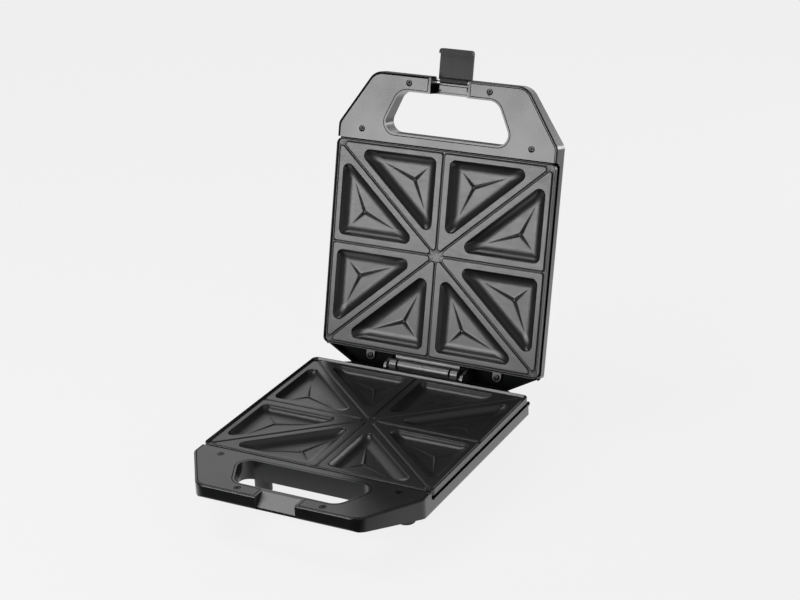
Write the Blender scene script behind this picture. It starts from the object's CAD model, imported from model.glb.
# %% [markdown]
# # A four-slice sandwich toaster, shown open
#
# The engineering model gives every piece its size and place. This lesson adds what the eye
# looks for: softly rounded edges, cast cooking plates with real pockets, and black finishes
# that differ from each other only in their gloss and grain. Black things are drawn by what
# they mirror, so the lights matter as much as the materials.

# %% Load the engineering model
import math

import bmesh
import bpy
from mathutils import Matrix, Vector


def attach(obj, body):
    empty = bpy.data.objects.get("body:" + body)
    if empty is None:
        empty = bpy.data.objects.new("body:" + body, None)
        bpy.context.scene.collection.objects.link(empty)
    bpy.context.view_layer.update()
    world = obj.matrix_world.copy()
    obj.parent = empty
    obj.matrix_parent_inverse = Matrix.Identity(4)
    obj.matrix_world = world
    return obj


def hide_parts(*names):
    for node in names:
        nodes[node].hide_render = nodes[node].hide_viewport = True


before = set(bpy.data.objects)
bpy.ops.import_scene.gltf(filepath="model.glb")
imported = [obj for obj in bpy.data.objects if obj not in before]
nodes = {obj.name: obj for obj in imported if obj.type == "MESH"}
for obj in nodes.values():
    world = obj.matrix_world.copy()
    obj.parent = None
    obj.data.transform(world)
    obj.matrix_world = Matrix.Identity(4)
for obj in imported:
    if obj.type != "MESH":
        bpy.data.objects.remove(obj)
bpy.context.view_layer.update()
print("pieces in the engineering model:", len(nodes))

# %% [markdown]
# ## Camera
# A long lens from the front right and a little above keeps the upright lid's edges nearly
# parallel. The place and the aim were worked out from straight edges of the real object, so
# they are given as numbers: where the camera is, and its right, up and back directions.

# %% Camera
camera_place = Vector((0.81567, -1.47206, 0.87726))
camera_right = Vector((0.88826, 0.45797, -0.03552))
camera_up = Vector((-0.14813, 0.35879, 0.92159))
camera_back = Vector((0.43480, -0.81335, 0.38654))

camera_data = bpy.data.cameras.new("camera")
camera_data.lens = 86.477
camera_data.sensor_width = 36.0
camera_data.sensor_fit = "HORIZONTAL"
camera_data.clip_start = 0.05
camera_data.clip_end = 200.0
camera = bpy.data.objects.new("camera", camera_data)
turn = Matrix((camera_right, camera_up, camera_back)).transposed().to_4x4()
camera.matrix_world = Matrix.Translation(camera_place) @ turn
bpy.context.scene.collection.objects.link(camera)
bpy.context.scene.camera = camera
bpy.context.scene.view_settings.view_transform = "Standard"
print("camera at", [round(v, 3) for v in camera_place])

# %% [markdown]
# ## A small kit for finishes
# Every finish is a Principled shader with a few layers of noise around it. The helpers below
# keep each recipe short. The first ones make and change single values: one adds a node and
# sets its inputs, one makes a noise layer in the object's own coordinates, so that the grain
# moves with a part when the part moves.

# %% Helpers for values
scene_materials = {}


def add(tree, kind, **inputs):
    node = tree.nodes.new(kind)
    for name, value in inputs.items():
        node.inputs[name.replace("_", " ")].default_value = value
    return node


def noise(tree, scale, detail=3.0, stretch=(1, 1, 1), roughness=0.55):
    place = tree.nodes.get("place") or tree.nodes.new("ShaderNodeTexCoord")
    place.name = "place"
    mapping = add(tree, "ShaderNodeMapping", Scale=stretch)
    tree.links.new(place.outputs["Object"], mapping.inputs["Vector"])
    layer = add(tree, "ShaderNodeTexNoise", Scale=scale, Detail=detail, Roughness=roughness)
    tree.links.new(mapping.outputs["Vector"], layer.inputs["Vector"])
    return layer.outputs["Fac"]


def spread(tree, value, low, high, from_low=0.3, from_high=0.7):
    """A value between from_low and from_high, spread over low to high."""
    node = add(tree, "ShaderNodeMapRange", From_Min=from_low, From_Max=from_high)
    node.inputs["To Min"].default_value = low
    node.inputs["To Max"].default_value = high
    tree.links.new(value, node.inputs["Value"])
    return node.outputs["Result"]


def maths(tree, operation, a, b):
    node = tree.nodes.new("ShaderNodeMath")
    node.operation = operation
    for socket, value in zip(node.inputs, (a, b)):
        if isinstance(value, (int, float)):
            socket.default_value = value
        else:
            tree.links.new(value, socket)
    return node.outputs["Value"]


# %% [markdown]
# The others work on a whole surface. Colours are mixed by a noise, and heights become bumps.
# Worn edges could be painted by hand, and then painted again after each change of shape. The
# Bevel node finds them by itself: it rounds the normal near an edge only, so there is an edge
# where the rounded normal leaves the face's own.

# %% Helpers for surfaces
def mix_colours(tree, factor, first, second):
    node = tree.nodes.new("ShaderNodeMix")
    node.data_type = "RGBA"
    tree.links.new(factor, node.inputs["Factor"])
    for socket, value in ((node.inputs["A"], first), (node.inputs["B"], second)):
        if isinstance(value, tuple):
            socket.default_value = (*value, 1.0)
        else:
            tree.links.new(value, socket)
    return node.outputs["Result"]


def bumps(tree, height, distance, strength=1.0, under=None):
    node = add(tree, "ShaderNodeBump", Strength=strength, Distance=distance)
    tree.links.new(height, node.inputs["Height"])
    if under is not None:
        tree.links.new(under, node.inputs["Normal"])
    return node.outputs["Normal"]


def edges(tree, radius):
    """1 along the edges of a part and 0 on its faces."""
    soft = tree.nodes.new("ShaderNodeBevel")
    soft.samples = 4
    soft.inputs["Radius"].default_value = radius
    face = tree.nodes.new("ShaderNodeNewGeometry")
    same = tree.nodes.new("ShaderNodeVectorMath")
    same.operation = "DOT_PRODUCT"
    tree.links.new(soft.outputs["Normal"], same.inputs[0])
    tree.links.new(face.outputs["Normal"], same.inputs[1])
    return spread(tree, same.outputs["Value"], 1.0, 0.0, 0.86, 0.99)


def finish(name, **settings):
    """A Principled material with plain settings. Returns its tree and its shader."""
    material = bpy.data.materials.new(name)
    material.use_nodes = True
    tree = material.node_tree
    shader = tree.nodes["Principled BSDF"]
    for key, value in settings.items():
        socket = shader.inputs[key.replace("_", " ")]
        socket.default_value = (*value, 1.0) if key == "Base_Color" else value
    scene_materials[name] = material
    return tree, shader


# %% [markdown]
# ## Black mouldings
# The casings, the flat covers and the clip are all black plastic. What tells them apart is
# the mould: the covers were polished a little more, the clip was spark-eroded and is matt.
# An image of plastic could be wrapped round them, but noise has no seams and a true size,
# so one recipe of noises serves all three. A slow one varies the gloss as handling does, a
# fine one gives the grain, and the edges are a shade lighter and smoother, where hands rub.

# %% Black plastic recipe
handled_smudge = 0.04
edge_width = 0.0005


def black_plastic(name, shade, gloss, grain_scale, grain_depth, edge_shade):
    """Returns its tree and shader, so that a piece can add its own local mark."""
    tree, shader = finish(name, IOR=1.5)
    slow = noise(tree, 22.0, detail=2.0)
    fine = noise(tree, grain_scale, detail=2.0)
    worn = edges(tree, edge_width)
    rubbed = maths(tree, "MULTIPLY", worn, spread(tree, noise(tree, 160.0), 0.35, 1.0))
    face = mix_colours(tree, slow, tuple(v * 0.85 for v in shade), tuple(v * 1.15 for v in shade))
    colour = mix_colours(tree, rubbed, face, edge_shade)
    tree.links.new(colour, shader.inputs["Base Color"])
    handled = spread(tree, slow, gloss - handled_smudge, gloss + handled_smudge)
    rough = maths(tree, "ADD", handled, spread(tree, fine, -0.02, 0.02))
    rough = maths(tree, "SUBTRACT", rough, maths(tree, "MULTIPLY", rubbed, 0.06))
    tree.links.new(rough, shader.inputs["Roughness"])
    tree.links.new(bumps(tree, fine, grain_depth), shader.inputs["Normal"])
    return tree, shader


rubbed_edge = (0.02, 0.02, 0.021)
mouldings = {
    "casing_black": ((0.0065, 0.0068, 0.0072), 0.23, 1400.0, 0.00001, rubbed_edge),
    "lid_casing_black": ((0.0065, 0.0068, 0.0072), 0.21, 1400.0, 0.00001, rubbed_edge),
    "cover_black": ((0.0050, 0.0053, 0.0056), 0.22, 1700.0, 0.000006, rubbed_edge),
    "clip_black": ((0.0100, 0.0103, 0.0108), 0.50, 900.0, 0.00003, (0.03, 0.03, 0.031)),
}
plastics = {name: black_plastic(name, *recipe) for name, recipe in mouldings.items()}
plastics["clip_black"][1].inputs["Specular IOR Level"].default_value = 0.32
print("plastics:", sorted(plastics))

# %% [markdown]
# ## Marks of the mould and of use
# Some faces differ from the rest of their moulding. The ramp in the base's notch, on which
# the clip's hook slides, is pale. A second material on a few faces would need those faces to
# be cut out first. Here the mark is found from the object's own coordinates and from the way
# a face points, so it needs no cut and moves with its piece.

# %% Rubbed ramp
ramp_facing = (0.0, -0.73, 0.684)
ramp_half_width = 0.020
ramp_lowest = 0.0432
ramp_shade = (0.215, 0.215, 0.218)


def share_along(tree, output, direction, start, end):
    """0 to 1 as the dot product of a coordinate output and a direction goes start to end."""
    dot = tree.nodes.new("ShaderNodeVectorMath")
    dot.operation = "DOT_PRODUCT"
    tree.links.new(tree.nodes["place"].outputs[output], dot.inputs[0])
    dot.inputs[1].default_value = direction
    return spread(tree, dot.outputs["Value"], 0.0, 1.0, start, end)


def both_of(tree, first, second):
    return maths(tree, "MULTIPLY", first, second)


def rub_ramp(tree, shader):
    """Pales the one face that points as the ramp does, near the middle and above a height."""
    soft = 0.0006
    sides = [share_along(tree, "Object", (side, 0, 0), ramp_half_width, ramp_half_width + soft)
             for side in (1, -1)]
    near = maths(tree, "SUBTRACT", 1.0, maths(tree, "ADD", *sides))
    above = share_along(tree, "Object", (0, 0, 1), ramp_lowest - soft / 2, ramp_lowest + soft / 2)
    turned = share_along(tree, "Normal", ramp_facing, 0.97, 0.995)
    share = both_of(tree, turned, both_of(tree, near, above))
    before = shader.inputs["Base Color"].links[0].from_socket
    tree.links.new(mix_colours(tree, share, before, ramp_shade), shader.inputs["Base Color"])


rub_ramp(*plastics["casing_black"])
print("nodes in the base's plastic:", len(plastics["casing_black"][0].nodes))

# %% [markdown]
# The shelf behind the lid's plate shines nowhere, and the lid's rim is dull along its left
# and front. These marks are found in the same way. Each stretch below is a direction, and
# how far along it, in metres, the mark begins and is full.

# %% Dull stretches of the lid
lid_facing = (0, -0.970, 0.242)
behind_plate = ((0, -0.25, -1.0), -0.0922, -0.0914)
left_rim = ((-1, 0, 0), 0.079, 0.081)
above_middle = ((0, 0, 1), 0.262, 0.266)
left_of_notch = ((-1, 0, 0), 0.022, 0.024)
front_rim = ((0, 0, 1), 0.334, 0.335)


def dull(tree, shader, share):
    """Kills the shine where share is 1."""
    tree.links.new(spread(tree, share, 0.5, 0.02, 0.0, 1.0), shader.inputs["Specular IOR Level"])
    before = shader.inputs["Roughness"].links[0].from_socket
    rough = maths(tree, "MAXIMUM", before, maths(tree, "MULTIPLY", share, 0.8))
    tree.links.new(rough, shader.inputs["Roughness"])


def dull_lid(tree, shader):
    shelf, *stretches = [share_along(tree, "Object", *stretch) for stretch in
                         (behind_plate, left_rim, above_middle, left_of_notch, front_rim)]
    left, front = both_of(tree, *stretches[:2]), both_of(tree, *stretches[2:])
    facing = share_along(tree, "Normal", lid_facing, 0.86, 0.93)
    rim = both_of(tree, facing, maths(tree, "MAXIMUM", left, front))
    dull(tree, shader, maths(tree, "MAXIMUM", shelf, rim))


dull_lid(*plastics["lid_casing_black"])
print("nodes in the lid's plastic:", len(plastics["lid_casing_black"][0].nodes))

# %% [markdown]
# ## Non-stick coating
# The plates are cast aluminium, sprayed black. Sprayed coats have a faint orange peel, a
# few millimetres across, and a fine tooth that spreads the shine. Baking leaves very slight
# differences of gloss, and cloths leave hair-thin scuffs. One noise could stand for it all,
# but the four have sizes far apart, so each of them is a layer of its own.

# %% Non-stick coating
tree, shader = finish("non_stick_black", IOR=1.52)
peel = noise(tree, 420.0, detail=2.0)
tooth = noise(tree, 2600.0, detail=1.0)
cloud = noise(tree, 30.0, detail=3.0)
scuff = noise(tree, 90.0, detail=4.0, stretch=(1.0, 14.0, 3.0))
coat_shade = mix_colours(tree, cloud, (0.0088, 0.0090, 0.0092), (0.0128, 0.0130, 0.0132))
tree.links.new(coat_shade, shader.inputs["Base Color"])
coat_gloss = maths(tree, "ADD", spread(tree, cloud, 0.295, 0.345),
                   spread(tree, scuff, -0.018, 0.022, 0.4, 0.7))
tree.links.new(coat_gloss, shader.inputs["Roughness"])
skin = bumps(tree, peel, 0.000012)
tree.links.new(bumps(tree, tooth, 0.000004, under=skin), shader.inputs["Normal"])
print("nodes in the coating:", len(tree.nodes))

# %% [markdown]
# ## Coated and bare metals
# The hinge brackets are steel under a satin black coat. Screws are blackened, and dark in
# the seams round their heads. Pins, heater tubes and the reflector sheets are bare metal,
# each with its own marks: drawn lines along a pin, straw and blue heat tints on a tube,
# rolling lines on a sheet. Lines are a noise that is stretched along the metal, which never
# repeats as a striped pattern would.

# %% Coated and bare metals
def metal(name, shade, second_shade, gloss, line_scale, stretch, depth, **settings):
    tree, shader = finish(name, Metallic=1.0, **settings)
    lines = noise(tree, line_scale, detail=3.0, stretch=stretch)
    blotch = noise(tree, 60.0, detail=3.0)
    tree.links.new(mix_colours(tree, spread(tree, blotch, 0.0, 1.0), shade, second_shade),
                   shader.inputs["Base Color"])
    tree.links.new(spread(tree, lines, gloss - 0.08, gloss + 0.1), shader.inputs["Roughness"])
    tree.links.new(bumps(tree, lines, depth), shader.inputs["Normal"])
    return tree, shader


tree, shader = finish("bracket_black", IOR=2.2)
lumps = noise(tree, 500.0, detail=2.0)
worn = edges(tree, 0.0004)
tree.links.new(mix_colours(tree, worn, (0.010, 0.0103, 0.0108), (0.05, 0.05, 0.05)),
               shader.inputs["Base Color"])
tree.links.new(spread(tree, noise(tree, 70.0), 0.40, 0.48), shader.inputs["Roughness"])
tree.links.new(bumps(tree, lumps, 0.000015), shader.inputs["Normal"])

tree, shader = metal("screw_black", (0.028, 0.028, 0.029), (0.040, 0.039, 0.038), 0.34,
                     900.0, (1, 1, 1), 0.000008)
seam = edges(tree, 0.0004)
face = shader.inputs["Base Color"].links[0].from_socket
tree.links.new(mix_colours(tree, seam, face, (0.003, 0.003, 0.003)), shader.inputs["Base Color"])
metal("drawn_steel", (0.42, 0.42, 0.43), (0.50, 0.49, 0.48), 0.28, 900.0, (0.05, 1, 1), 0.00001)
metal("heat_tinted_steel", (0.36, 0.31, 0.24), (0.24, 0.25, 0.31), 0.42, 500.0, (1, 1, 1), 0.00002)
metal("rolled_sheet", (0.66, 0.67, 0.68), (0.72, 0.72, 0.72), 0.32, 700.0, (0.04, 1, 1), 0.000008)
metal("dull_brass", (0.50, 0.40, 0.22), (0.42, 0.35, 0.22), 0.40, 600.0, (1, 1, 1), 0.00001)
print("finishes so far:", len(scene_materials))

# %% [markdown]
# ## Rubber, insulation and lenses
# The rest is small or hidden, and still gets its own finish: matt rubber with talc in its
# pores, chalky heat-proof mouldings, silicone sleeves, and clear coloured lenses whose inside
# is cut in rings so that they glow evenly. The rings could be modelled, but on a lens of a
# few millimetres a wave that only bends the shine looks the same.

# %% Rubber, insulation and lenses
def matt(name, shade, second_shade, gloss, scale, depth, **settings):
    tree, shader = finish(name, IOR=1.48, **settings)
    pores = noise(tree, scale, detail=4.0)
    cloud = noise(tree, 45.0, detail=2.0)
    tree.links.new(mix_colours(tree, cloud, shade, second_shade), shader.inputs["Base Color"])
    tree.links.new(spread(tree, pores, gloss - 0.06, gloss + 0.06), shader.inputs["Roughness"])
    tree.links.new(bumps(tree, pores, depth), shader.inputs["Normal"])


matt("rubber_black", (0.010, 0.010, 0.010), (0.018, 0.018, 0.018), 0.62, 1500.0, 0.00004)
matt("heat_proof_white", (0.66, 0.62, 0.53), (0.74, 0.71, 0.63), 0.6, 1100.0, 0.00003)
matt("silicone_red", (0.26, 0.035, 0.025), (0.34, 0.05, 0.035), 0.45, 900.0, 0.00002)


def lens_finish(name, shade):
    tree, shader = finish(name, Base_Color=shade, IOR=1.49, Transmission_Weight=0.75)
    place = tree.nodes.new("ShaderNodeTexCoord")
    rings = add(tree, "ShaderNodeTexWave", Scale=260.0, Distortion=0.4)
    rings.wave_type = "RINGS"
    tree.links.new(place.outputs["Object"], rings.inputs["Vector"])
    tree.links.new(spread(tree, noise(tree, 200.0), 0.08, 0.2), shader.inputs["Roughness"])
    tree.links.new(bumps(tree, rings.outputs["Fac"], 0.00002), shader.inputs["Normal"])


lens_finish("lens_red", (0.60, 0.030, 0.020))
lens_finish("lens_green", (0.035, 0.42, 0.09))
print("finishes:", len(scene_materials))

# %% [markdown]
# ## Finishes onto the pieces
# The engineering model keeps its own meshes, and each piece gets the finish of its stuff.
# The pieces are listed by finish, so that a look at the list shows what is made of what.

# %% Dress the engineering pieces
piece_finish = {
    "casing_black": ["base_casing"],
    "lid_casing_black": ["lid_casing"],
    "cover_black": ["base_handle_cover", "lid_handle_cover"],
    "clip_black": ["latch_clip"],
    "bracket_black": ["base_hinge_bracket", "lid_hinge_bracket"],
    "screw_black": ["base_cover_screws", "base_plate_screws", "base_bracket_screws",
                    "lid_cover_screws", "lid_plate_screws", "lid_bracket_screws"],
    "drawn_steel": ["hinge_pin", "latch_pin"],
    "heat_tinted_steel": ["base_heater", "lid_heater"],
    "rolled_sheet": ["base_reflector", "lid_reflector"],
    "dull_brass": ["thermostat"],
    "rubber_black": ["rubber_feet", "cord_gland"],
    "heat_proof_white": ["thermal_fuse", "terminal_block", "lamp_holders"],
    "silicone_red": ["base_wiring", "lid_wiring"],
    "lens_red": ["power_lens"],
    "lens_green": ["ready_lens"],
}

for material_name, names in piece_finish.items():
    for name in names:
        for slot in nodes[name].material_slots:
            slot.material = scene_materials[material_name]
print("dressed pieces:", sum(len(names) for names in piece_finish.values()))

# %% [markdown]
# The exact corners of the engineering model are sharper than any real moulding. Sharp edges
# catch no light, and a black thing lives by its edges. They could be rounded in the model,
# at the cost of heavy solids, so each piece in this list gets three modifiers instead: one
# welds the split corners, one rounds the edges by a fraction of a millimetre, and one makes
# the flat faces shade flat again.

# %% Rounded edges
edge_rounding = {
    "base_casing": 0.0005, "lid_casing": 0.0005, "base_handle_cover": 0.0003,
    "lid_handle_cover": 0.0003, "latch_clip": 0.0005, "base_hinge_bracket": 0.0004,
    "lid_hinge_bracket": 0.0004, "rubber_feet": 0.0008, "cord_gland": 0.0006,
}


def round_edges(piece, width, segments=2):
    weld = piece.modifiers.new("weld", "WELD")
    weld.merge_threshold = 0.000002
    bevel = piece.modifiers.new("rounded_edges", "BEVEL")
    bevel.width = width
    bevel.segments = segments
    bevel.limit_method = "ANGLE"
    bevel.angle_limit = math.radians(32)
    bevel.use_clamp_overlap = True
    bevel.harden_normals = False
    flat = piece.modifiers.new("flat_faces", "WEIGHTED_NORMAL")
    flat.keep_sharp = False


for name, width in edge_rounding.items():
    round_edges(nodes[name], width)
print("pieces with rounded edges:", len(edge_rounding))

# %% [markdown]
# ## Screw heads
# Every screw that shows has a dark rolled rim and a dark pit in its middle. Both are circles
# round the screw's own axis. The places of the screws could be written down, but the mesh
# knows them: it falls into islands of joined points, one for each screw.

# %% Find the screws
def islands(piece):
    """The middle of each separate solid of a piece, in its own coordinates."""
    mesh = bmesh.new()
    mesh.from_mesh(piece.data)
    bmesh.ops.remove_doubles(mesh, verts=mesh.verts, dist=0.000005)
    waiting = set(mesh.verts)
    middles = []
    while waiting:
        group, edge = set(), [waiting.pop()]
        while edge:
            v = edge.pop()
            group.add(v)
            near = {e.other_vert(v) for e in v.link_edges} & waiting
            waiting -= near
            edge += near
        low = [min(v.co[k] for v in group) for k in range(3)]
        high = [max(v.co[k] for v in group) for k in range(3)]
        middles.append(Vector([(a + b) / 2 for a, b in zip(low, high)]))
    mesh.free()
    return middles


print("screws in the lid's cover:", len(islands(nodes["lid_cover_screws"])))

# %% [markdown]
# The circles could be cut into the heads, but grooves so shallow show as dark lines only. So
# they are drawn in the finish, by the distance from the nearest screw's axis.

# %% Ring the screw heads
screw_pit_shade = (0.002, 0.002, 0.002)


def ring_heads(name, piece, axis, rim_radius, pit_radius):
    """A screw finish that is dark beyond the inner radius and within the pit's radius."""
    material = scene_materials["screw_black"].copy()
    material.name = name
    tree = material.node_tree
    shader = tree.nodes["Principled BSDF"]
    nearest = 1.0
    for middle in islands(piece):
        arm = tree.nodes.new("ShaderNodeVectorMath")
        arm.operation = "SUBTRACT"
        tree.links.new(tree.nodes["place"].outputs["Object"], arm.inputs[0])
        arm.inputs[1].default_value = middle
        aside = tree.nodes.new("ShaderNodeVectorMath")
        aside.operation = "CROSS_PRODUCT"
        tree.links.new(arm.outputs["Vector"], aside.inputs[0])
        aside.inputs[1].default_value = axis
        length = tree.nodes.new("ShaderNodeVectorMath")
        length.operation = "LENGTH"
        tree.links.new(aside.outputs["Vector"], length.inputs[0])
        nearest = maths(tree, "MINIMUM", length.outputs["Value"], nearest)
    rim = spread(tree, nearest, 0.0, 1.0, rim_radius, rim_radius + 0.0001)
    pit = spread(tree, nearest, 1.0, 0.0, pit_radius, pit_radius + 0.0001)
    dark = maths(tree, "MAXIMUM", rim, pit)
    before = shader.inputs["Base Color"].links[0].from_socket
    tree.links.new(mix_colours(tree, dark, before, screw_pit_shade), shader.inputs["Base Color"])
    for slot in piece.material_slots:
        slot.material = material


ring_heads("base_screw_black", nodes["base_cover_screws"], (0, 0, 1), 0.0024, 0.0009)
ring_heads("lid_screw_black", nodes["lid_cover_screws"], lid_facing, 0.0024, 0.0009)
ring_heads("lid_tab_screw_black", nodes["lid_plate_screws"], lid_facing, 0.0020, 0.0008)
print("ringed heads on the tabs of the lid:", len(islands(nodes["lid_plate_screws"])))

# %% [markdown]
# ## Cooking plates
# Each plate has eight triangular cells. A cell is a raised land with rounded edges, a pocket
# whose wall falls steeply and flattens into the floor, and a floor pinched up into three
# thin ribs that meet in the middle, which mark the toast. A grid pressed down by a height map
# would be simple, but its squares cut across every slanting edge. Here all of it is drawn as
# rings: the same triangle, moved inwards step by step, each ring at its own height and with
# its own corner radius. Rings give clean quads that follow every rounding.

# %% Sizes of a cooking plate, in millimetres
MM = 0.001
plate_half = (120.0, 106.0)
plate_corner = 5.0
channel_height = -1.2
land_edge = 1.3
border_groove = 1.3
land_corner = 2.5
pocket_edge = 8.5
pocket_corner = 5.5
pocket_run = 10.5
pocket_depth = 6.6
rib_height = 0.9
arc_steps = 6
side_steps = 13
nearly = 1e-4

cells = [
    [Vector((0, 0)), Vector(plate_half), Vector((0, plate_half[1]))],
    [Vector((0, 0)), Vector((plate_half[0], 0)), Vector(plate_half)],
]
print("cells in a quarter of the plate:", len(cells))

# %% [markdown]
# A ring starts as a triangle whose sides are all moved inwards by the same distance. Each
# corner is then replaced by an arc that touches both sides, and each side gets points that
# lie closer together towards its ends, where the shape bends. Every ring has the same number
# of points, so any two of them can be joined by quads.

# %% Rings
def inward(a, b):
    along = (b - a).normalized()
    return Vector((-along.y, along.x))


def smaller(triangle, distance):
    """The triangle with every side moved inwards."""
    moved = []
    for k in range(3):
        before = inward(triangle[k - 1], triangle[k])
        after = inward(triangle[k], triangle[(k + 1) % 3])
        moved.append(triangle[k] + (before + after) * distance / (1 + before.dot(after)))
    return moved


def between(a, b):
    """Points of a side, closer together towards its ends."""
    shares = [0.5 - 0.5 * math.cos(math.pi * k / side_steps) for k in range(1, side_steps)]
    return [a.lerp(b, share) for share in shares]


def ring(triangle, distance, radius, height):
    """The smaller triangle with rounded corners, at a height."""
    corners = smaller(triangle, distance)
    arcs = []
    for k in range(3):
        u = (corners[k - 1] - corners[k]).normalized()
        v = (corners[(k + 1) % 3] - corners[k]).normalized()
        half = u.angle(v) / 2
        centre = corners[k] + (u + v).normalized() * radius / math.sin(half)
        start = corners[k] + u * radius / math.tan(half) - centre
        turn_angle = math.pi - 2 * half
        spin = [Matrix.Rotation(turn_angle * j / arc_steps, 2) for j in range(arc_steps + 1)]
        arcs.append([centre + m @ start for m in spin])
    points = []
    for k in range(3):
        points += arcs[k] + between(arcs[k][-1], arcs[(k + 1) % 3][0])
    return [Vector((p.x, p.y, height)) for p in points]


print("points in a ring:", len(ring(cells[0], pocket_edge, pocket_corner, 0)))

# %% [markdown]
# The outermost ring has to meet its neighbours and the rim of the plate exactly. Its points
# are first placed on the plate's outline, then moved in from it, so that every height of the
# rim uses the same points.

# %% Rim points
def on_outline(p, distance):
    """Moves a point of the plate's outline inwards by a distance."""
    core = Vector([max(-h + plate_corner, min(h - plate_corner, c))
                   for c, h in zip(p, plate_half)])
    return core + (p - core).normalized() * (plate_corner - distance)


def corner_points(triangle, k):
    """The points of one corner: all the same, or along the rounding of the plate's corner."""
    p = triangle[k]
    if (p - Vector(plate_half)).length > nearly:
        return [p.copy() for _ in range(arc_steps + 1)]
    core = Vector((plate_half[0] - plate_corner, plate_half[1] - plate_corner))
    along = p.normalized()
    reach = core.dot(along) + math.sqrt(core.dot(along) ** 2 - core.length_squared
                                        + plate_corner ** 2)
    hit = along * reach - core
    middle = math.atan2(hit.y, hit.x)
    first, last = (middle, math.pi / 2) if k == 1 else (0.0, middle)
    angles = [first + (last - first) * j / arc_steps for j in range(arc_steps + 1)]
    return [core + plate_corner * Vector((math.cos(a), math.sin(a))) for a in angles]


def lies_on_rim(p):
    right, back = plate_half
    on_side = abs(p.x - right) < nearly or abs(p.y - back) < nearly
    in_corner = p.x > right - plate_corner - nearly and p.y > back - plate_corner - nearly
    return on_side or in_corner


def rim_ring(triangle, distance, height):
    """The outermost ring, and which of its points lie on the plate's rim."""
    arcs = [corner_points(triangle, k) for k in range(3)]
    points = []
    for k in range(3):
        points += arcs[k] + between(arcs[k][-1], arcs[(k + 1) % 3][0])
    on_rim = [lies_on_rim(p) for p in points]
    moved = [on_outline(p, distance) if flag else p for p, flag in zip(points, on_rim)]
    return [Vector((p.x, p.y, height)) for p in moved], on_rim


print("rim points of a cell:", sum(rim_ring(cells[0], 0, channel_height)[1]))

# %% [markdown]
# The heights come next, as pairs of a distance inwards and a height. The land's edge is a
# small round, kept a little further back from the plate's border than from the channels. The
# pocket's wall follows a quarter ellipse below a rounded lip, given by a distance and a depth.
# A straight wall would need fewer rings, but it would mirror one flat patch of the room, where
# the cast wall shows a soft streak.

# %% Heights of lands and walls
land_profile = [(0.5, -1.12), (0.85, -0.8), (1.1, -0.47), (1.32, -0.2), (1.55, -0.05),
                (1.9, 0.0)]
lip_profile = [(-1.3, 0.0), (-1.0, 0.1), (-0.6, 0.46), (-0.1, 1.08), (0.37, 1.82)]
wall_angles = [23, 30, 38, 46, 55, 65, 75, 84, 90]


def border_distance(triangle):
    """How far a cell's outer side lies from the middle of the plate."""
    beside = abs(triangle[1].x - triangle[2].x) < nearly
    return triangle[1].x if beside else triangle[1].y


def top_rings(triangle):
    land = [corner * (1 - border_groove / border_distance(triangle)) for corner in triangle]
    rings = [ring(land, d, land_corner + land_edge - d, z) for d, z in land_profile]
    rings += [ring(triangle, pocket_edge + d, pocket_corner - d, -z) for d, z in lip_profile]
    for angle in wall_angles:
        share = 1 - math.cos(math.radians(angle))
        rings.append(ring(triangle, pocket_edge + pocket_run * share,
                          pocket_corner * (1 - 0.9 * share ** 1.5),
                          -pocket_depth * math.sin(math.radians(angle))))
    return rings


print("rings from a land to its pocket's floor:", len(top_rings(cells[0])))

# %% [markdown]
# The floor's rings shrink towards the point where the three ribs meet. The ribs could be
# three thin bars laid on the floor, but cast ribs grow out of it. So the floor itself is
# lifted: most where the ribs meet, less and less along each rib towards its corner, and
# quickly down to nothing on both sides of it.

# %% Ribs in the floor
floor_shares = [0.93, 0.86, 0.78, 0.7, 0.62, 0.54, 0.46, 0.38, 0.3, 0.22, 0.15, 0.08]
rib_reach = 0.96
rib_end_width = 0.5
rib_swell = 1.6


def rib_lift(p, centre, corners):
    """How far the floor is lifted at a point."""
    lift = 0.0
    for corner in corners:
        arm = corner - centre
        along = (p - centre).dot(arm.normalized())
        aside = abs((p - centre).cross(arm.normalized()))
        fade = max(0.0, 1 - along / (arm.length * rib_reach)) if along > 0 else 1.0
        if along < 0:
            aside = (p - centre).length
        width = rib_end_width + rib_swell * fade
        lift = max(lift, rib_height * fade ** 0.8 * max(0.0, 1 - aside / width) ** 1.3)
    return lift


def floor_rings(triangle, edge_ring):
    corners = smaller(triangle, pocket_edge + pocket_run)
    sides = [(corners[k] - corners[k - 1]).length for k in range(3)]
    weights = [sides[2], sides[0], sides[1]]
    centre = sum((c * w for c, w in zip(corners, weights)), Vector((0, 0))) / sum(sides)
    rings = []
    for share in floor_shares:
        flat = [centre.lerp(Vector(p[:2]), share) for p in edge_ring]
        rings.append([Vector((p.x, p.y, rib_lift(p, centre, corners) - pocket_depth))
                      for p in flat])
    return rings, Vector((centre.x, centre.y, rib_height - pocket_depth))


print("rings down a pocket:", len(top_rings(cells[0])) + len(floor_shares))

# %% [markdown]
# A thin rim stands up round the plate, and its flange hangs down outside. The underside
# follows the pockets a metal's thickness lower. A Solidify modifier could give that thickness
# too, but the flange is no offset of the face, so both are drawn from profiles of their own.

# %% Profiles of the flange and the underside, and their faces
flange_profile = [(0.62, -1.2), (0.52, -1.1), (-0.43, 1.15), (-0.52, 1.28), (-0.65, 1.34),
                  (-0.85, 1.34), (-1.05, 1.28), (-1.16, 1.15), (-1.2, 0.97), (-1.2, -4.4),
                  (-0.9, -4.7), (1.0, -4.7), (1.3, -4.4), (1.3, -4.0)]
under_profile = [(6.4, -4.0, 7.0), (7.0, -4.4, 6.5), (7.6, -6.0, 6.0), (9.0, -7.6, 5.0),
                 (12.0, -8.6, 4.0), (17.0, -9.0, 2.0)]


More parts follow.
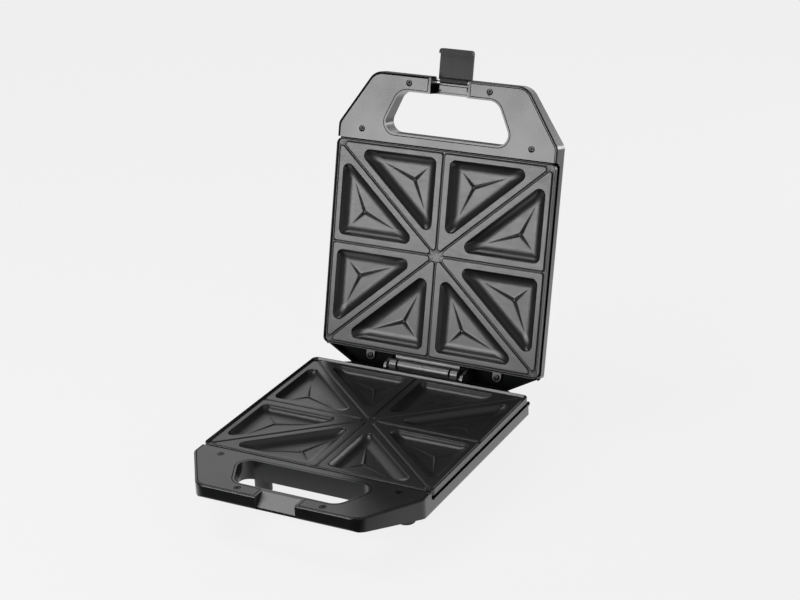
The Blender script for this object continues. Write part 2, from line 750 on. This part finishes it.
def add_rings(mesh, rings, closed, flip):
    """Joins each ring to the next by quads and returns the rows of their points."""
    rows = [[mesh.verts.new(p) for p in points] for points in rings]
    count = len(rows[0])
    for upper, lower in zip(rows, rows[1:]):
        for j in range(count if closed else count - 1):
            corners = [upper[j], upper[(j + 1) % count], lower[(j + 1) % count], lower[j]]
            mesh.faces.new(corners[::-1] if flip else corners)
    return rows


def add_cap(mesh, row, middle, flip):
    tip = mesh.verts.new(middle)
    for j in range(len(row)):
        corners = [row[j], row[(j + 1) % len(row)], tip]
        mesh.faces.new(corners[::-1] if flip else corners)


print("points across the flange:", len(flange_profile))

# %% [markdown]
# Only the first quarter is drawn. A Mirror modifier would do for the rest, but each plate
# also has to be moved to its place, and the lid's is turned over. So the quarter is copied
# four times with its signs changed, and the seams vanish when equal points are merged. A
# count of open edges tells whether the mesh is closed.

# %% From a quarter to a whole plate
def quarter_plate():
    mesh = bmesh.new()
    for triangle in cells:
        outer, flags = rim_ring(triangle, *flange_profile[0])
        walls = top_rings(triangle)
        floor, middle = floor_rings(triangle, walls[-1])
        rows = add_rings(mesh, [outer] + walls + floor, True, False)
        add_cap(mesh, rows[-1], middle, False)
        under, _ = rim_ring(triangle, *flange_profile[-1])
        lower = [ring(triangle, d, r, z) for d, z, r in under_profile]
        rows = add_rings(mesh, [under] + lower, True, True)
        add_cap(mesh, rows[-1], Vector((middle.x, middle.y, under_profile[-1][1])), True)
        run = [j for j, flag in enumerate(flags) if flag]
        loops = [[rim_ring(triangle, d, z)[0][j] for j in run] for d, z in flange_profile]
        add_rings(mesh, loops, False, True)
    return mesh


def plate_mesh(name, place):
    whole = bmesh.new()
    quarter = quarter_plate()
    for sx in (1, -1):
        for sy in (1, -1):
            row = {}
            for v in quarter.verts:
                row[v] = whole.verts.new(place @ Vector((v.co.x * sx, v.co.y * sy, v.co.z)))
            mirrored = (sx * sy < 0) != (place.determinant() < 0)
            for face in quarter.faces:
                corners = [row[v] for v in face.verts]
                whole.faces.new(corners[::-1] if mirrored else corners)
    quarter.free()
    bmesh.ops.remove_doubles(whole, verts=whole.verts, dist=0.00002)
    bmesh.ops.dissolve_degenerate(whole, edges=whole.edges, dist=0.00001)
    open_edges = sum(1 for e in whole.edges if len(e.link_faces) != 2)
    for face in whole.faces:
        face.smooth = True
    data = bpy.data.meshes.new(name)
    whole.to_mesh(data)
    whole.free()
    piece = bpy.data.objects.new(name, data)
    bpy.context.scene.collection.objects.link(piece)
    print(name, "faces:", len(data.polygons), "open edges:", open_edges)
    return piece


# %% [markdown]
# The engineering frame puts the base's cooking face 55 mm above the table. The lid is the
# same half turned over, moved up by the gap between the faces, and swung open about the
# hinge. The plates could be moved as objects, but one matrix each, applied to the points,
# leaves them in the shared frame like every other piece.

# %% Places of the two halves
hinge_line = Vector((0, 119.7, -1.1))
open_angle = 104.0
face_gap = 3.0
plate_middle_y = -19.192
face_height = 55.0
to_table = Matrix.Scale(MM, 4) @ Matrix.Translation((0, plate_middle_y, face_height))
swing = (Matrix.Translation(hinge_line) @ Matrix.Rotation(math.radians(-open_angle), 4, "X")
         @ Matrix.Translation(-hinge_line))
turned_over = Matrix.Translation((0, 0, face_gap)) @ Matrix.Diagonal((1, 1, -1, 1))
half_place = {"base": to_table, "lid": to_table @ swing @ turned_over}
print("the lid's plate is centred at", [round(v, 3) for v in half_place["lid"].translation])

# %% [markdown]
# Behind each plate two tongues take its screws, and a lug joins each of them to the rim. They
# are cast with the plate, but they are drawn apart from it: an outline with a round end and a
# small block, each given a thickness. That keeps the rings of the plate clean.

# %% Tabs behind a plate
tab_middles = (-72.0, 72.0)
tab_half, tab_screw_y = 5.0, 115.5
tab_start = 104.0
tab_round_steps = 16
lug_depth = (103.6, 105.9)
tab_under, tab_top, lug_top = -15.5, -13.5, -4.2


def tabs_mesh(name, place):
    """Two tongues that hold the plate's rear edge, each with a lug up to the rim."""
    mesh = bmesh.new()
    for middle in tab_middles:
        left, right = middle - tab_half, middle + tab_half
        turns = [math.pi * j / tab_round_steps for j in range(tab_round_steps + 1)]
        outline = [Vector((left, tab_start)), Vector((right, tab_start))]
        outline += [Vector((middle + tab_half * math.cos(a), tab_screw_y + tab_half * math.sin(a)))
                    for a in turns]
        near, far = lug_depth
        lug = [Vector((left, near)), Vector((right, near)), Vector((right, far)), Vector((left, far))]
        for points, low, high in ((outline, tab_under, tab_top), (lug, tab_under, lug_top)):
            rows = add_rings(mesh, [[Vector((*p, z)) for p in points] for z in (high, low)],
                             True, True)
            mesh.faces.new(rows[0])
            mesh.faces.new(rows[1][::-1])
    bmesh.ops.transform(mesh, matrix=place, verts=mesh.verts)
    if place.determinant() < 0:
        bmesh.ops.reverse_faces(mesh, faces=mesh.faces)
    data = bpy.data.meshes.new(name)
    mesh.to_mesh(data)
    mesh.free()
    piece = bpy.data.objects.new(name, data)
    bpy.context.scene.collection.objects.link(piece)
    return piece


print("tabs behind each plate:", len(tab_middles))

# %% [markdown]
# Both plates get the coating and ride on their halves. Each takes the place of the plain
# plate of the engineering model.

# %% Put the plates in
for body, place in half_place.items():
    plate = plate_mesh(body + "_cooking_plate", place)
    tabs = tabs_mesh(body + "_plate_tabs", place)
    round_edges(tabs, 0.0004)
    flat = plate.modifiers.new("flat_faces", "WEIGHTED_NORMAL")
    flat.keep_sharp = True
    for piece in (plate, tabs):
        piece.data.materials.append(scene_materials["non_stick_black"])
        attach(piece, body)
    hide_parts(body + "_plate")

# %% [markdown]
# ## Floor
# A black object shows the room it stands in. The floor is pale to the camera, and it keeps the
# object's soft shadow. In reflections it is dark in front of the object, as if a dark cloth lay
# there, and pale beside and behind it, which keeps the front faces deep black. Real cloths
# could be laid out, but they would show in the view too. The Light Path node tells the camera's
# rays from mirrored ones, so one floor can do both.

# %% Helpers for the room
def rays(tree, *kinds):
    """1 for rays of any of these kinds and 0 for all others."""
    path = tree.nodes.new("ShaderNodeLightPath")
    total = path.outputs[kinds[0]]
    for kind in kinds[1:]:
        total = maths(tree, "MAXIMUM", total, path.outputs[kind])
    return total


def eased(tree, value, low, high, from_low, from_high):
    """Like spread, with soft ends."""
    result = spread(tree, value, low, high, from_low, from_high)
    result.node.interpolation_type = "SMOOTHSTEP"
    return result


def axes_of(tree, output):
    place = tree.nodes.new("ShaderNodeTexCoord")
    axes = tree.nodes.new("ShaderNodeSeparateXYZ")
    tree.links.new(place.outputs[output], axes.inputs["Vector"])
    return axes.outputs


# %% [markdown]
# The floor is a wide disc. For the camera it glows with a flat tone and takes a little light
# of the lamps on top, so that the shadow stays. For mirrored rays only the glow counts, and
# three soft borders tell where the dark cloth ends.

# %% Floor
floor_radius = 60.0
floor_glow = 0.84
floor_shade = 0.06

floor_mesh = bmesh.new()
bmesh.ops.create_circle(floor_mesh, cap_ends=True, segments=96, radius=floor_radius)
floor_data = bpy.data.meshes.new("floor")
floor_mesh.to_mesh(floor_data)
floor_mesh.free()
floor = bpy.data.objects.new("floor", floor_data)
bpy.context.scene.collection.objects.link(floor)

floor_material = bpy.data.materials.new("pale_floor")
floor_material.use_nodes = True
tree = floor_material.node_tree
tree.nodes.clear()
axes = axes_of(tree, "Object")
cloth_end = eased(tree, axes["Y"], 0.02, 1.25, -0.27, -0.16)
left_end = spread(tree, axes["X"], 0.1, 1.0, -0.32, -0.24)
far_end = spread(tree, axes["Y"], 1.0, 0.7, 0.40, 0.75)
lit = maths(tree, "MULTIPLY", cloth_end, maths(tree, "MULTIPLY", left_end, far_end))
mirrored = maths(tree, "MULTIPLY", lit, rays(tree, "Is Glossy Ray"))
seen = maths(tree, "MULTIPLY", rays(tree, "Is Camera Ray", "Is Transmission Ray"), floor_glow)
glow = add(tree, "ShaderNodeEmission", Color=(1, 1, 1, 1))
tree.links.new(maths(tree, "ADD", mirrored, seen), glow.inputs["Strength"])
shaded = tree.nodes.new("ShaderNodeBsdfDiffuse")
unmirrored = maths(tree, "SUBTRACT", 1.0, rays(tree, "Is Glossy Ray"))
tree.links.new(maths(tree, "MULTIPLY", unmirrored, floor_shade), shaded.inputs["Color"])
both = tree.nodes.new("ShaderNodeAddShader")
tree.links.new(glow.outputs[0], both.inputs[0])
tree.links.new(shaded.outputs[0], both.inputs[1])
out = tree.nodes.new("ShaderNodeOutputMaterial")
tree.links.new(both.outputs[0], out.inputs["Surface"])
floor.data.materials.append(floor_material)
print("floor radius in metres:", floor_radius)

# %% [markdown]
# ## The room
# The background has one flat tone for the camera. What the gloss sees is a room with a pale
# wall behind the object and on its front right, and with a dark front left and a dark ceiling.
# Walls could be modelled, but here a direction is enough: the room is only ever seen in gloss.
# All other light from the room is an even fill.

# %% World
background = 0.887
fill = 0.34

world = bpy.data.worlds.new("studio")
bpy.context.scene.world = world
world.use_nodes = True
tree = world.node_tree
tree.nodes.clear()
axes = axes_of(tree, "Generated")
wall_behind = eased(tree, axes["Y"], 0.02, 1.25, -0.10, 0.75)
wall_foot = spread(tree, axes["Z"], 0.15, 1.0, -0.04, 0.08)
wall_top = spread(tree, axes["Z"], 1.0, 0.1, 0.52, 0.72)
wall = maths(tree, "MULTIPLY", wall_behind, maths(tree, "MULTIPLY", wall_foot, wall_top))
front_right = spread(tree, axes["X"], 0.0, 0.5, 0.1, 0.5)
room = maths(tree, "MAXIMUM", front_right, wall)
mirrored = maths(tree, "MULTIPLY", room, rays(tree, "Is Glossy Ray"))
seen = maths(tree, "MULTIPLY", rays(tree, "Is Camera Ray", "Is Transmission Ray"), background)
others = maths(tree, "SUBTRACT", 1.0,
               rays(tree, "Is Camera Ray", "Is Transmission Ray", "Is Glossy Ray"))
total = maths(tree, "ADD", maths(tree, "ADD", mirrored, seen), maths(tree, "MULTIPLY", others, fill))
sky = add(tree, "ShaderNodeBackground", Color=(1, 1, 1, 1))
tree.links.new(total, sky.inputs["Strength"])
out = tree.nodes.new("ShaderNodeOutputWorld")
tree.links.new(sky.outputs[0], out.inputs["Surface"])
print("fill from the room:", fill)

# %% [markdown]
# ## Softboxes
# A wide softbox at the front left is what the lid mirrors. One overhead draws the ramp, the
# hinge barrel and the upper edges, and one low behind the right side draws the side walls.
# Bare lamps would light as well, but a black gloss shows each lamp as a spot, and a softbox
# as a broad sheen. Each is given by what it points at, its direction from there, its distance,
# its width and height in metres, and its brightness.

# %% Softboxes
def softbox(name, target, direction, distance, width, height, brightness):
    data = bpy.data.lights.new(name, "AREA")
    data.shape = "RECTANGLE"
    data.size, data.size_y = width, height
    data.energy = brightness * math.pi * width * height
    lamp = bpy.data.objects.new(name, data)
    direction = Vector(direction).normalized()
    lamp.location = Vector(target) + direction * distance
    lamp.rotation_euler = direction.to_track_quat("Z", "Y").to_euler()
    lamp.visible_camera = False
    bpy.context.scene.collection.objects.link(lamp)
    print(name, [round(v, 2) for v in lamp.location], "watts", round(data.energy, 1))


softbox("key_softbox", (0.06, 0.16, 0.265), (-0.435, -0.90, 0.10), 1.5, 0.78, 0.57, 9.4)
softbox("top_softbox", (0.0, 0.0, 0.06), (-0.41, -0.16, 0.90), 1.5, 0.5, 0.66, 5.5)
softbox("rim_softbox", (0.12, 0.0, 0.05), (0.45, 0.87, 0.16), 1.4, 0.6, 0.4, 6.0)
